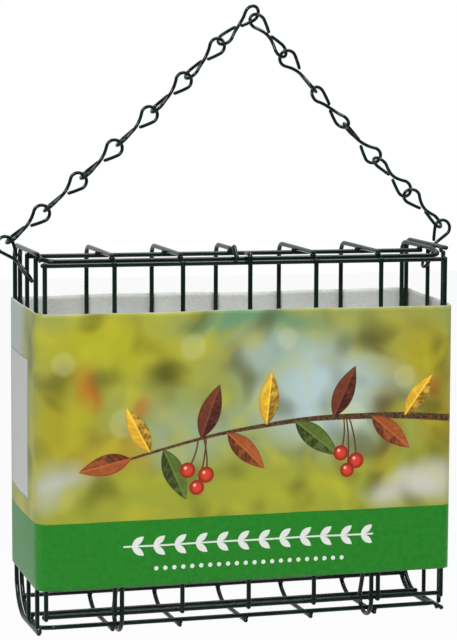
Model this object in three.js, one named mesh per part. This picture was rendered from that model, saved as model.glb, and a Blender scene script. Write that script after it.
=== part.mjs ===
// Hanging wire feeder for one pressed suet cake, in a printed card sleeve. Millimetres, +Z up.
// The door faces -Y. The origin is the inner top of the apex link's upper eye, where a hook bears.
// The cage is worked out in its own coordinates, with x = 0 at its middle, y = 0 at the door's
// upright wires and z = 0 at the door's bottom wire, and the whole group is moved at the end.
import * as THREE from "three";

// Wire and welded mesh
const MESH_PITCH = 25.4; // between neighbouring upright wires
const DOOR_UPRIGHTS = 7;
const DOOR_ROWS = 5; // mesh pitches from the door's bottom wire to its top wire
const CAGE_DEPTH_SHARE = 0.35; // from the door to the back wires, of the door's height
const WIRE_D = 1.6; // coated wire of the cage
const WELD_GAP = 0.3; // left between two crossing wires
const WIRE_POKE = 1.2; // how far an upright reaches past the middle of its last cross wire

// Cage folded from one frame and five C-shaped wires
const FRONT_RUN_Y = 3.9; // the frame's two front runs, behind the door
const BOTTOM_RUN_DROP = 4.3; // the lower front run, below the door's bottom wire
const TOP_RUN_RISE = 1.3; // the upper front run, above the door's top wire
const TOP_FLAP_RISE = 1; // the top of the cage climbs this much to the back
const TOP_BEND_R = 4;
const BOTTOM_BEND_R = 15;
const FRAME_CORNER_R = 5;
const CUT_ARM_START_SHARE = 0.53; // depth share where the middle C-shaped wire's short top arm ends
const TOP_CROSS_SHARE = 0.58; // depth shares of the cross wires under the two flaps
const BOTTOM_CROSS_SHARE = 0.6;
const BACK_LOW_ANGLE_DEG = 42; // where the low cross wire sits on the bottom bend, below level

// End panels
const HOOP_RISE = 0.9; // its top arm, above the frame's
const HOOP_FRONT_Y = 3;
const MIDDLE_WIRE_Y = 22;
const FRONT_WIRE_Y = 6.5;

// Door hooks and catch
const HINGE_HOOK_X_SHARE = 0.316; // of the cage's width, from the middle
const HOOK_LEG_TOP = 22; // front leg's top end
const HOOK_BOW_R = 6.25;
const HOOK_BOW_DROP = 0.8;
const HOOK_KNEE = [7.8, 11]; // y and z of the bend in the hook's inner leg
const HOOK_TIP = [5.5, 14]; // y and z of its end
const CATCH_BEND_R = 1.5;
const CATCH_REACH = 1.9; // past the middle of the upper front run
const FINGER_X = -4.8;
const FINGER_FOOT = [0.75, 1.3]; // y, and height above the door's top wire
const FINGER_LEAN = [4.3, 4.9]; // back and up, from foot to tip

// Chain of figure-eight links
const CHAIN_WIRE_D = 1.35;
const CHAIN_GAP = 0.25; // between two hooked eyes
const CHAIN_PITCH = 18; // contact to contact
const EYE_R = 3; // middle of the wire
const END_STOP = 0.6; // a wire end stops this far from the middle of its link
const RUN_LINKS = 7; // links each side of the apex link
const SIDE_PLAY = 0.45; // added where a link pulls on the side of an eye
const LEFT_LEAN_DEG = 36; // end links, out from upright
const RIGHT_LEAN_DEG = 27;
const LEFT_SLACK = 6.2; // how much lower an end link hangs than where it meets the hoop's top arm
const RIGHT_SLACK = 1.6;
const LEFT_ROLLS_DEG = [0, 3, -4, 2, -3, 4, 12]; // upper eye off face-on, from the cage up
const APEX_ROLL_DEG = 27;
const RIGHT_ROLLS_DEG = [180, 145, 106, 67, 28, -11, -50];
const SAG_STEP_DEG = 1.1; // each link stands this much steeper than the one below it
const PLAN_PASSES = 12;

// Card sleeve
const CARD_T = 0.5;
const CARD_GAP = 0.3;
const CARD_LOW_SHARE = 0.08; // heights at the front, of the door's height
const CARD_HIGH_SHARE = 0.866;
const CARD_RISE = 2.4; // both cut edges climb this much to the back
const CARD_FRONT_FOLD_R = 3.7; // inner side of the card
const CARD_BACK_FOLD_R = 1.2;

// Facets
const WIRE_SIDES = 8;
const BEND_STEP_DEG = 18;
const EYE_STEPS = 10;
const CARD_CORNER_STEPS = 4;
const DOME_STEP_DEG = 45; // one ring between a wire's side and the tip of its rounded end

const RAD = Math.PI / 180;
const wireR = WIRE_D / 2;
const layer = WIRE_D + WELD_GAP;
const halfWidth = ((DOOR_UPRIGHTS - 1) / 2) * MESH_PITCH;
const doorHeight = DOOR_ROWS * MESH_PITCH;
const backY = CAGE_DEPTH_SHARE * doorHeight;
const lowRunZ = -BOTTOM_RUN_DROP;
const highRunZ = doorHeight + TOP_RUN_RISE;
const floorZ = lowRunZ - layer; // middle of the C-shaped wires' bottom arms
const flapSlope = TOP_FLAP_RISE / (backY - FRONT_RUN_Y);
const hoopX = halfWidth + layer;
const linkHalf = (CHAIN_PITCH + CHAIN_WIRE_D + CHAIN_GAP) / 2; // middle to an eye's outer end
const eyeCentre = linkHalf - EYE_R; // from the middle of a link
const eyeSpread = Math.asin(EYE_R / eyeCentre); // a teardrop eye's half angle at the waist
const contactToEye = CHAIN_PITCH / 2 + eyeCentre; // lower contact to upper eye's middle

const at = (x, y, z) => new THREE.Vector3(x, y, z);

/** Height of the middle of the cage's top arms at a depth. */
function topZ(y) {
  return highRunZ + layer + flapSlope * (y - FRONT_RUN_Y);
}

/** Height of the middle of a hoop's top arm at a depth. */
const hoopZ = (y) => topZ(y) + HOOP_RISE;

/** Rounds the corners of a polyline. Each point may carry a bend radius as `bend`. */
function rounded(points, closed = false) {
  const path = [];
  const count = points.length;
  points.forEach((corner, i) => {
    const open = !closed && (i === 0 || i === count - 1);
    if (open || !corner.bend) {
      path.push(corner.p.clone());
      return;
    }
    const before = points[(i + count - 1) % count].p;
    const after = points[(i + 1) % count].p;
    const inward = before.clone().sub(corner.p).normalize();
    const onward = after.clone().sub(corner.p).normalize();
    const turn = Math.PI - inward.angleTo(onward);
    const reach = corner.bend * Math.tan(turn / 2);
    const middle = inward.clone().add(onward).normalize();
    const centre = corner.p.clone().addScaledVector(middle, corner.bend / Math.cos(turn / 2));
    const start = corner.p.clone().addScaledVector(inward, reach).sub(centre);
    const side = start.clone().normalize();
    const along = inward.clone().negate();
    const steps = Math.max(1, Math.round(turn / (BEND_STEP_DEG * RAD)));
    for (let k = 0; k <= steps; k += 1) {
      const angle = (turn * k) / steps;
      path.push(
        centre
          .clone()
          .addScaledVector(side, corner.bend * Math.cos(angle))
          .addScaledVector(along, corner.bend * Math.sin(angle)),
      );
    }
  });
  return path;
}

/** Directions of a path at its points, closed or with two ends. */
function tangents(path, closed) {
  const count = path.length;
  return path.map((p, i) => {
    const before = closed ? path[(i + count - 1) % count] : path[Math.max(i - 1, 0)];
    const after = closed ? path[(i + 1) % count] : path[Math.min(i + 1, count - 1)];
    const arrive = p.clone().sub(before).normalize();
    const leave = after.clone().sub(p).normalize();
    return arrive.add(leave).normalize();
  });
}

/** One side direction per point, carried along the path with no twist of its own. */
function sideDirections(path, along, closed) {
  const least = along[0].toArray().map(Math.abs);
  const axis = least.indexOf(Math.min(...least));
  const first = at(0, 0, 0).setComponent(axis, 1);
  first.addScaledVector(along[0], -first.dot(along[0])).normalize();
  const sides = [first];
  for (let i = 1; i < path.length; i += 1) {
    const turn = new THREE.Quaternion().setFromUnitVectors(along[i - 1], along[i]);
    sides.push(sides[i - 1].clone().applyQuaternion(turn));
  }
  if (!closed) return sides;
  const last = path.length - 1;
  const turn = new THREE.Quaternion().setFromUnitVectors(along[last], along[0]);
  const arrived = sides[last].clone().applyQuaternion(turn);
  const across = along[0].clone().cross(arrived);
  const miss = Math.atan2(first.dot(across), first.dot(arrived));
  return sides.map((side, i) => side.applyAxisAngle(along[i], (miss * i) / path.length));
}

/** A round wire along a path, with rounded ends inside the path's length. */
function wireGeometry(path, radius, closed = false) {
  const along = tangents(path, closed);
  const sides = sideDirections(path, along, closed);
  const rings = path.map((p, i) => ({ centre: p.clone(), t: along[i], side: sides[i], r: radius }));
  if (!closed) {
    const shoulder = Math.cos(DOME_STEP_DEG * RAD);
    const tuck = radius * (1 - Math.sin(DOME_STEP_DEG * RAD));
    const first = rings[0];
    const last = rings[rings.length - 1];
    const head = { ...first, r: radius * shoulder, centre: first.centre.clone() };
    const tail = { ...last, r: radius * shoulder, centre: last.centre.clone() };
    head.centre.addScaledVector(first.t, tuck);
    tail.centre.addScaledVector(last.t, -tuck);
    first.centre.addScaledVector(first.t, radius);
    last.centre.addScaledVector(last.t, -radius);
    rings.unshift(head);
    rings.push(tail);
  }
  const vertices = [];
  rings.forEach(({ centre, t, side, r }) => {
    const across = t.clone().cross(side);
    for (let k = 0; k < WIRE_SIDES; k += 1) {
      const angle = (2 * Math.PI * k) / WIRE_SIDES;
      const v = centre
        .clone()
        .addScaledVector(side, r * Math.cos(angle))
        .addScaledVector(across, r * Math.sin(angle));
      vertices.push(v.x, v.y, v.z);
    }
  });
  const faces = [];
  const spans = closed ? rings.length : rings.length - 1;
  for (let i = 0; i < spans; i += 1) {
    const here = i * WIRE_SIDES;
    const next = ((i + 1) % rings.length) * WIRE_SIDES;
    for (let k = 0; k < WIRE_SIDES; k += 1) {
      const k2 = (k + 1) % WIRE_SIDES;
      faces.push(here + k, here + k2, next + k2, here + k, next + k2, next + k);
    }
  }
  if (!closed) {
    const tip = vertices.length / 3;
    const lastRing = (rings.length - 1) * WIRE_SIDES;
    vertices.push(...path[0].toArray(), ...path[path.length - 1].toArray());
    for (let k = 0; k < WIRE_SIDES; k += 1) {
      const k2 = (k + 1) % WIRE_SIDES;
      faces.push(tip, k2, k, tip + 1, lastRing + k, lastRing + k2);
    }
  }
  const geometry = new THREE.BufferGeometry();
  geometry.setAttribute("position", new THREE.Float32BufferAttribute(vertices, 3));
  geometry.setIndex(faces);
  geometry.computeVertexNormals();
  return geometry;
}

const coating = { color: 0x142d26, roughness: 0.35, metalness: 0 };

function piece(name, geometry, look = coating) {
  const mesh = new THREE.Mesh(geometry, new THREE.MeshStandardMaterial(look));
  mesh.name = name;
  return mesh;
}

function cageWire(name, points, closed = false) {
  return piece(name, wireGeometry(rounded(points, closed), wireR, closed));
}

function straightWire(name, from, to) {
  return cageWire(name, [{ p: from }, { p: to }]);
}

/** The cage's one closed frame: two front runs joined by a C-shaped side at each end. */
function cageFrame() {
  const side = (x) => [
    { p: at(x, FRONT_RUN_Y, highRunZ), bend: FRAME_CORNER_R },
    { p: at(x, FRONT_RUN_Y + 2 * FRAME_CORNER_R, topZ(FRONT_RUN_Y + 2 * FRAME_CORNER_R)) },
    { p: at(x, backY, topZ(backY)), bend: TOP_BEND_R },
    { p: at(x, backY, floorZ), bend: BOTTOM_BEND_R },
    { p: at(x, FRONT_RUN_Y + 2 * FRAME_CORNER_R, floorZ) },
    { p: at(x, FRONT_RUN_Y, lowRunZ), bend: FRAME_CORNER_R },
  ];
  return cageWire("cage_frame", [...side(halfWidth), ...side(-halfWidth).reverse()], true);
}

/** The C-shaped wires outside the frame's runs: over the top, down the back, under the floor. */
function wrapWires() {
  const count = DOOR_UPRIGHTS - 2;
  const middle = (count - 1) / 2;
  const frontY = FRONT_RUN_Y - WIRE_POKE;
  return Array.from({ length: count }, (_, i) => {
    const x = (i - middle) * MESH_PITCH;
    const armY = i === middle ? backY * CUT_ARM_START_SHARE : frontY;
    return cageWire(`wrap_wire_${i + 1}`, [
      { p: at(x, armY, topZ(armY)) },
      { p: at(x, backY, topZ(backY)), bend: TOP_BEND_R },
      { p: at(x, backY, floorZ), bend: BOTTOM_BEND_R },
      { p: at(x, frontY, floorZ) },
    ]);
  });
}

/** The four cross wires, on the inner side of the C-shaped wires. */
function crossWires() {
  const reach = halfWidth + WIRE_POKE;
  const bendY = backY - BOTTOM_BEND_R;
  const bendZ = floorZ + BOTTOM_BEND_R;
  const innerR = BOTTOM_BEND_R * Math.cos((BEND_STEP_DEG / 2) * RAD) - layer;
  const topY = backY * TOP_CROSS_SHARE;
  const rows = {
    top_cross_wire: [topY, topZ(topY) - layer],
    back_upper_cross_wire: [backY - layer, doorHeight / 2],
    back_lower_cross_wire: [
      bendY + innerR * Math.cos(BACK_LOW_ANGLE_DEG * RAD),
      bendZ - innerR * Math.sin(BACK_LOW_ANGLE_DEG * RAD),
    ],
    bottom_cross_wire: [backY * BOTTOM_CROSS_SHARE, floorZ + layer],
  };
  return Object.entries(rows).map(([name, [y, z]]) =>
    straightWire(name, at(-reach, y, z), at(reach, y, z)),
  );
}

/** One end panel: a C-shaped hoop outside the frame, and two upright wires between its arms. */
function sidePanel(word, sign) {
  const x = sign * hoopX;
  const upright = (name, y) =>
    straightWire(
      `${word}_side_${name}_wire`,
      at(x, y, floorZ + wireR + WELD_GAP),
      at(x, y, hoopZ(y) - wireR - WELD_GAP),
    );
  return [
    cageWire(`${word}_side_hoop`, [
      { p: at(x, HOOP_FRONT_Y, hoopZ(HOOP_FRONT_Y)) },
      { p: at(x, backY, hoopZ(backY)), bend: TOP_BEND_R },
      { p: at(x, backY, floorZ), bend: BOTTOM_BEND_R },
      { p: at(x, HOOP_FRONT_Y, floorZ) },
    ]),
    upright("middle", MIDDLE_WIRE_Y),
    upright("front", FRONT_WIRE_Y),
  ];
}

/** The door's uprights. The middle one is turned back over the cage's upper front run. */
function doorUprights() {
  const middle = (DOOR_UPRIGHTS - 1) / 2;
  return Array.from({ length: DOOR_UPRIGHTS }, (_, i) => {
    const x = (i - middle) * MESH_PITCH;
    const top = i === middle ? highRunZ + layer : doorHeight + WIRE_POKE;
    const points = [{ p: at(x, 0, -WIRE_POKE) }, { p: at(x, 0, top), bend: CATCH_BEND_R }];
    if (i === middle) points.push({ p: at(x, FRONT_RUN_Y + CATCH_REACH, top) });
    return cageWire(`door_upright_${i + 1}`, points);
  });
}

function doorCrossWires() {
  const reach = halfWidth + WIRE_POKE;
  const rows = { bottom: 0, middle: doorHeight / 2, top: doorHeight };
  return Object.entries(rows).map(([word, z]) =>
    straightWire(`door_${word}_wire`, at(-reach, layer, z), at(reach, layer, z)),
  );
}

/** An open hook on the door that goes down in front of the lower front run and up behind it. */
function hingeHook(word, sign) {
  const x = sign * 2 * halfWidth * HINGE_HOOK_X_SHARE;
  const bow = [];
  for (let angle = 180; angle <= 360; angle += BEND_STEP_DEG) {
    const y = HOOK_BOW_R * (1 + Math.cos(angle * RAD));
    const z = HOOK_BOW_R * Math.sin(angle * RAD) - HOOK_BOW_DROP;
    bow.push({ p: at(x, y, z) });
  }
  return cageWire(`${word}_hinge_hook`, [
    { p: at(x, 0, HOOK_LEG_TOP) },
    ...bow,
    { p: at(x, ...HOOK_KNEE) },
    { p: at(x, ...HOOK_TIP) },
  ]);
}

/** The finger piece on the door's top wire that is pressed to free the catch. */
function latchFinger() {
  const [y, rise] = FINGER_FOOT;
  const [back, up] = FINGER_LEAN;
  const foot = at(FINGER_X, y, doorHeight + rise);
  return straightWire("latch_finger", foot, foot.clone().add(at(0, back, up)));
}

/** The two eyes' side directions, at right angles, for a link that points up along `up`. */
function linkSides(up, rollDeg) {
  const back = at(0, 1, 0);
  const flat = back.clone().cross(up).normalize();
  const upperSide = flat.clone().multiplyScalar(Math.cos(rollDeg * RAD));
  upperSide.addScaledVector(up.clone().cross(flat), Math.sin(rollDeg * RAD));
  return { upperSide, lowerSide: up.clone().cross(upperSide) };
}

/**
 * Half of a link in its own plane, as [along, aside] points from the link's middle: from the wire's
 * end, which lies close to the waist, up a straight leg, round the eye and back to the waist.
 */
function eyeOutline() {
  const r = CHAIN_WIRE_D / 2;
  const tip = END_STOP + r;
  const apart = CHAIN_WIRE_D + CHAIN_GAP / 2;
  const aside = (apart - tip * Math.sin(eyeSpread)) / Math.cos(eyeSpread);
  const legTurn = Math.acos(EYE_R / Math.hypot(eyeCentre - tip, aside));
  const first = Math.PI - Math.atan2(aside, eyeCentre - tip) - legTurn;
  const last = -Math.PI / 2 - eyeSpread;
  const points = [[tip - r * Math.sin(first), aside + r * Math.cos(first)]];
  for (let k = 0; k <= EYE_STEPS; k += 1) {
    const angle = first + ((last - first) * k) / EYE_STEPS;
    points.push([eyeCentre + EYE_R * Math.cos(angle), EYE_R * Math.sin(angle)]);
  }
  points.push([r * Math.cos(eyeSpread), -r * Math.sin(eyeSpread)]);
  return points;
}

/**
 * One link of twisted jack chain: a single wire bent into a figure eight whose two eyes stand
 * at right angles, with both its ends closed against the waist. `low` is its lower contact, `up`
 * its direction, and the roll is the upper eye's turn off the plane that faces the door.
 */
function linkGeometry(low, up, rollDeg) {
  const waist = low.clone().addScaledVector(up, CHAIN_PITCH / 2);
  const { upperSide, lowerSide } = linkSides(up, rollDeg);
  const eye = (direction, side) =>
    eyeOutline().map(([along, aside]) =>
      waist.clone().addScaledVector(direction, along).addScaledVector(side, aside),
    );
  const upper = eye(up, upperSide);
  const lower = eye(up.clone().negate(), lowerSide).reverse();
  return wireGeometry([...upper, ...lower], CHAIN_WIRE_D / 2);
}

/** From the middle of an eye to the contact of a link that pulls on its side. */
function sideSeat(up, rollDeg, pull) {
  const { upperSide } = linkSides(up, rollDeg);
  const seat = up
    .clone()
    .multiplyScalar(pull.dot(up))
    .addScaledVector(upperSide, pull.dot(upperSide));
  return seat.setLength(EYE_R - (CHAIN_WIRE_D + CHAIN_GAP) / 2 - SIDE_PLAY);
}

/** One end link: it leans out past the hoop's top arm, its lower eye round the panel's wire. */
function endLink(sign, leanDeg, slack) {
  const hold = (WIRE_D + CHAIN_WIRE_D) / 2 + CHAIN_GAP;
  const lean = leanDeg * RAD;
  const tight = hoopZ(MIDDLE_WIRE_Y) - (hold / Math.cos(lean) + hold) / Math.tan(lean);
  const up = at(sign * Math.sin(lean), 0, Math.cos(lean));
  const low = at(sign * (hoopX - hold), MIDDLE_WIRE_Y, tight - slack);
  low.addScaledVector(up, linkHalf - CHAIN_PITCH / 2);
  return { sign, up, low, eye: low.clone().addScaledVector(up, contactToEye) };
}

/** A link's turn from its run's mean direction: the runs sag, so upper links stand steeper. */
const sagTurn = (i) => (i - RUN_LINKS / 2) * SAG_STEP_DEG * RAD;

/**
 * Where the chain runs, found from its two ends on the cage and the length of its links. The
 * apex eye's middle is where the two runs' reaches meet, found by repeated correction, because
 * each seat depends on the direction of the run that pulls on it.
 */
function chainPlan() {
  const left = endLink(-1, LEFT_LEAN_DEG, LEFT_SLACK);
  const right = endLink(1, RIGHT_LEAN_DEG, RIGHT_SLACK);
  let runLength = 0;
  for (let i = 1; i < RUN_LINKS; i += 1) runLength += CHAIN_PITCH * Math.cos(sagTurn(i));
  left.run = at(1, 0, 1).normalize();
  right.run = at(-1, 0, 1).normalize();
  const eye = at(0, MIDDLE_WIRE_Y, 0);
  for (let pass = 0; pass < PLAN_PASSES; pass += 1) {
    left.seat = sideSeat(left.up, LEFT_ROLLS_DEG[0], left.run);
    right.seat = sideSeat(right.up, RIGHT_ROLLS_DEG[0], right.run);
    const apexSeat = sideSeat(left.run, APEX_ROLL_DEG, right.run.clone().negate());
    const leftFrom = left.eye.clone().add(left.seat);
    const rightFrom = right.eye.clone().add(right.seat).sub(apexSeat);
    const leftReach = runLength + contactToEye;
    const rightReach = Math.sqrt(runLength ** 2 - (rightFrom.y - MIDDLE_WIRE_Y) ** 2);
    const base = rightFrom.clone().sub(leftFrom).setY(0);
    const span = base.length();
    const along = (span ** 2 + leftReach ** 2 - rightReach ** 2) / (2 * span);
    const height = Math.sqrt(leftReach ** 2 - along ** 2);
    base.normalize();
    eye.copy(leftFrom).setY(MIDDLE_WIRE_Y).addScaledVector(base, along);
    eye.addScaledVector(base.clone().cross(at(0, 1, 0)), height);
    left.run = eye.clone().sub(leftFrom).normalize();
    right.run = eye.clone().sub(rightFrom).normalize();
  }
  const hang = at(eye.x, eye.y, eye.z + EYE_R - CHAIN_WIRE_D / 2);
  return { left, right, eye, hang };
}

/** The links of one side, from the cage up. */
function chainRun(word, end, rolls) {
  const low = end.eye.clone().add(end.seat);
  const links = [piece(`${word}_link_1`, linkGeometry(end.low, end.up, rolls[0]))];
  for (let i = 1; i < RUN_LINKS; i += 1) {
    const up = end.run.clone().applyAxisAngle(at(0, 1, 0), end.sign * sagTurn(i));
    links.push(piece(`${word}_link_${i + 1}`, linkGeometry(low, up, rolls[i])));
    low.addScaledVector(up, CHAIN_PITCH);
  }
  return links;
}

function chain({ left, right, eye }) {
  const apexLow = eye.clone().addScaledVector(left.run, -contactToEye);
  return [
    ...chainRun("left", left, LEFT_ROLLS_DEG),
    piece("apex_link", linkGeometry(apexLow, left.run, APEX_ROLL_DEG)),
    ...chainRun("right", right, RIGHT_ROLLS_DEG),
  ];
}

/** A rounded rectangle round the cage, some distance from its wires and outside the inner skin. */
function sleeveOutline(outline, distance, skin) {
  const x = hoopX + wireR + distance;
  const front = -wireR - distance;
  const back = backY + wireR + distance;
  const backR = CARD_BACK_FOLD_R + skin;
  const frontR = CARD_FRONT_FOLD_R + skin;
  const corners = [
    [x - backR, back - backR, backR],
    [backR - x, back - backR, backR],
    [frontR - x, front + frontR, frontR],
    [x - frontR, front + frontR, frontR],
  ];
  corners.forEach(([cx, cy, cornerR], i) => {
    for (let k = 0; k <= CARD_CORNER_STEPS; k += 1) {
      const angle = (Math.PI / 2) * (i + k / CARD_CORNER_STEPS);
      const px = cx + cornerR * Math.cos(angle);
      const py = cy + cornerR * Math.sin(angle);
      if (i === 0 && k === 0) outline.moveTo(px, py);
      else outline.lineTo(px, py);
    }
  });
  return outline;
}

/** The card sleeve: a thin four-sided tube, open above and below, slid on from beneath. */
function cardSleeve() {
  const outline = sleeveOutline(new THREE.Shape(), CARD_GAP + CARD_T, CARD_T);
  outline.holes.push(sleeveOutline(new THREE.Path(), CARD_GAP, 0));
  const depth = (CARD_HIGH_SHARE - CARD_LOW_SHARE) * doorHeight;
  const geometry = new THREE.ExtrudeGeometry(outline, { depth, bevelEnabled: false });
  const shear = new THREE.Matrix4().identity();
  shear.elements[6] = CARD_RISE / backY; // z gains this share of y
  geometry.applyMatrix4(shear);
  geometry.translate(0, 0, CARD_LOW_SHARE * doorHeight);
  return piece("card_sleeve", geometry, { color: 0xbec3c0, roughness: 0.7, metalness: 0 });
}

function suetFeeder() {
  const plan = chainPlan();
  const inner = new THREE.Group();
  inner.add(
    cageFrame(),
    ...wrapWires(),
    ...crossWires(),
    ...sidePanel("left", -1),
    ...sidePanel("right", 1),
    ...doorUprights(),
    ...doorCrossWires(),
    hingeHook("left", -1),
    hingeHook("right", 1),
    latchFinger(),
    ...chain(plan),
    cardSleeve(),
  );
  inner.position.copy(plan.hang).negate();
  const group = new THREE.Group();
  group.name = "suet_feeder";
  group.add(inner);
  return group;
}

export default suetFeeder();
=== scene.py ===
import math

import bpy
from mathutils import Matrix, Vector


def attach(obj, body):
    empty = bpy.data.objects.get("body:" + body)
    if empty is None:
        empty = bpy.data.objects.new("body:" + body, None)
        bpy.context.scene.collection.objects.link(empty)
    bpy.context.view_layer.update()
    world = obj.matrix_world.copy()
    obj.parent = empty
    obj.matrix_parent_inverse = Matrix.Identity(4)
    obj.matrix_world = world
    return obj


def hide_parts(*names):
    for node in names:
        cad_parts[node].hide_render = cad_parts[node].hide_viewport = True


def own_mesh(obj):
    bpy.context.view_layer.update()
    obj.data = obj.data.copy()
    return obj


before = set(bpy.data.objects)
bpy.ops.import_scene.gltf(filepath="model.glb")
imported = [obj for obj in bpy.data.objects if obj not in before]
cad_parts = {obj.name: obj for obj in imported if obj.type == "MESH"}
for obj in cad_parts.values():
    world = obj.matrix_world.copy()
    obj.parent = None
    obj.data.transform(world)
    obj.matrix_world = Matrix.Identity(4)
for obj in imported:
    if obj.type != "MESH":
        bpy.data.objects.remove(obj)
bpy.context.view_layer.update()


# Camera. It stands where the photograph was taken from: four fifths of a metre in front of the
# door, to the left of the cage and a little above its top.
CAMERA_PLACE = (-0.24489, -0.78665, -0.03609)
CAMERA_YAW, CAMERA_PITCH, CAMERA_ROLL = 0.292, -0.097, 0.004
CAMERA_LENS_MM, CAMERA_REACH = 124.1, 20


def put(name, data):
    """A new object in the scene, at its origin."""
    made = bpy.data.objects.new(name, data)
    bpy.context.collection.objects.link(made)
    return made


camera = put("camera", bpy.data.cameras.new("camera"))
camera.data.lens = CAMERA_LENS_MM
camera.data.clip_end = CAMERA_REACH
camera.matrix_world = (
    Matrix.Translation(CAMERA_PLACE)
    @ Matrix.Rotation(-CAMERA_YAW, 4, "Z")
    @ Matrix.Rotation(math.pi / 2 + CAMERA_PITCH, 4, "X")
    @ Matrix.Rotation(CAMERA_ROLL, 4, "Z")
)
bpy.context.scene.camera = camera
bpy.context.scene.view_settings.view_transform = "Standard"


# Studio. A plain white floor and surround with soft boxes overhead and to the sides. The floor lies
# below the reach of the opened door, and shows as white with the feeder's soft shadow on it.
WHITE = (1, 1, 1, 1)
FLOOR_LEVEL, FLOOR_HALF = -0.42, 4.0
FLOOR_TONE = (0.9, 0.9, 0.9, 1)
FLOOR_GLOW = 0.9
GLOSS_DEPTHS, GLOSS_TONES = (-0.5, 0.4), (0.08, 0.95)  # gloss shows the floor darker at the front
ROOM_TINT = (0.97, 0.99, 1, 1)
ROOM_LIGHTS = [  # for plain light, then for gloss: a direction, where along it light starts and
    # reaches its full strength, and the strength at both
    ((0.3, 0.5, 0.7), -0.9, 0.9, 0.04, 0.8),
    ((0.1, 0.85, 0.5), 0.3, 0.95, 0.03, 0.8),
]
SOFT_BOXES = {  # place, side, watts
    "overhead soft box": ((0.22, -0.12, 0.75), 0.5, 5),
    "front soft box": ((-0.55, -1.0, 0.75), 0.5, 12.5),
    "left soft box": ((-1.1, -0.1, 0.3), 0.6, 0.4),
}
SOFT_BOX_AIM = Vector((0, 0, -0.15))


class Tree:
    """A tree of nodes, whose links and sums are written in Python."""

    def __init__(self, tree):
        self.tree = tree

    def node(self, kind, inputs=None, output=0, **settings):
        """Adds a node: its settings first, then the values or links of its sockets."""
        made = self.tree.nodes.new(kind)
        for key, value in settings.items():
            setattr(made, key, value)
        for key, value in (inputs or {}).items():
            self.feed(made.inputs[key], value)
        return Shade(self, made.outputs[output])

    def feed(self, socket, value):
        if isinstance(value, Shade):
            self.tree.links.new(value.socket, socket)
        else:
            socket.default_value = value

    def vector(self, operation, first, second=(0, 0, 0), output=0):
        inputs = {0: first, 1: second}
        return self.node("ShaderNodeVectorMath", inputs, output, operation=operation)

    def ramp(self, value, start, end, low, high, curve="LINEAR"):
        """A rise from low, where value is at start, to high, where it is at end."""
        ends = {"From Min": start, "From Max": end, "To Min": low, "To Max": high}
        return self.node("ShaderNodeMapRange", {"Value": value, **ends}, interpolation_type=curve)


class Finish(Tree):
    """One finish of the feeder, painted node by node."""

    def __init__(self, name):
        self.material = bpy.data.materials.new(name)
        self.material.use_nodes = True
        super().__init__(self.material.node_tree)
        self.shader = self.tree.nodes["Principled BSDF"]

    def mix(self, share, under, over):
        """Two colours mixed: share 0 gives under, share 1 gives over."""
        return self.node("ShaderNodeMix", {0: share, 6: under, 7: over}, 2, data_type="RGBA")

    def noise(self, place, scale, detail, output=0):
        inputs = {"Vector": place, "Scale": scale, "Detail": detail}
        return self.node("ShaderNodeTexNoise", inputs, output)

    def step(self, value, start, end, low=0.0, high=1.0):
        """A ramp with a smooth start and end."""
        return self.ramp(value, start, end, low, high, "SMOOTHSTEP")

    def fall(self, value, start, end, high=1.0):
        """A smooth fall from high, where value is at start, to 0, where it is at end."""
        return self.step(value, start, end, low=high, high=0.0)

    def bump(self, height, strength, depth):
        inputs = {"Strength": strength, "Distance": depth, "Height": height}
        return self.node("ShaderNodeBump", inputs)

    def surface(self, **values):
        """Sets or links the shader's sockets, with _ for the spaces in their names."""
        for key, value in values.items():
            self.feed(self.shader.inputs[key.replace("_", " ")], value)


def math_node(operation, swapped=False):
    """A method that puts a Math node on a Shade and, if it takes one, another value."""

    def method(shade, other=0.0):
        first, second = (other, shade) if swapped else (shade, other)
        return shade.tree.node("ShaderNodeMath", {0: first, 1: second}, operation=operation)

    return method


class Shade:
    """A socket's number or colour. Sums that are written on it become Math nodes."""

    def __init__(self, tree, socket):
        self.tree = tree
        self.socket = socket

    __add__ = __radd__ = math_node("ADD")
    __sub__, __rsub__ = math_node("SUBTRACT"), math_node("SUBTRACT", swapped=True)
    __mul__ = __rmul__ = math_node("MULTIPLY")
    __truediv__ = math_node("DIVIDE")
    __mod__, __abs__ = math_node("FLOORED_MODULO"), math_node("ABSOLUTE")
    most, least = math_node("MAXIMUM"), math_node("MINIMUM")


def studio_white():
    """The floor: white, partly glowing for the camera, and darker in gloss towards the front."""
    floor = Finish("studio white")
    gloss = floor.node("ShaderNodeLightPath", output="Is Glossy Ray")
    seen = floor.node("ShaderNodeLightPath", output="Is Camera Ray")
    place = floor.node("ShaderNodeTexCoord", output="Object")
    depth = floor.node("ShaderNodeSeparateXYZ", {0: place}, "Y")
    mirrored = floor.step(depth, *GLOSS_DEPTHS, *GLOSS_TONES)
    floor.surface(Base_Color=floor.mix(gloss, FLOOR_TONE, mirrored), Roughness=0.9)
    glow = floor.node("ShaderNodeEmission", {"Color": WHITE, "Strength": 1.0})
    lit = Shade(floor, floor.shader.outputs[0])
    both = floor.node("ShaderNodeMixShader", {0: seen * FLOOR_GLOW, 1: lit, 2: glow})
    floor.feed(floor.tree.nodes["Material Output"].inputs["Surface"], both)
    return floor.material


floor_corners = [
    (x * FLOOR_HALF, y * FLOOR_HALF, FLOOR_LEVEL) for x, y in ((-1, -1), (1, -1), (1, 1), (-1, 1))
]
floor_mesh = bpy.data.meshes.new("floor")
floor_mesh.from_pydata(floor_corners, [], [(0, 1, 2, 3)])
floor_mesh.materials.append(studio_white())
floor = put("floor", floor_mesh)

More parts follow.
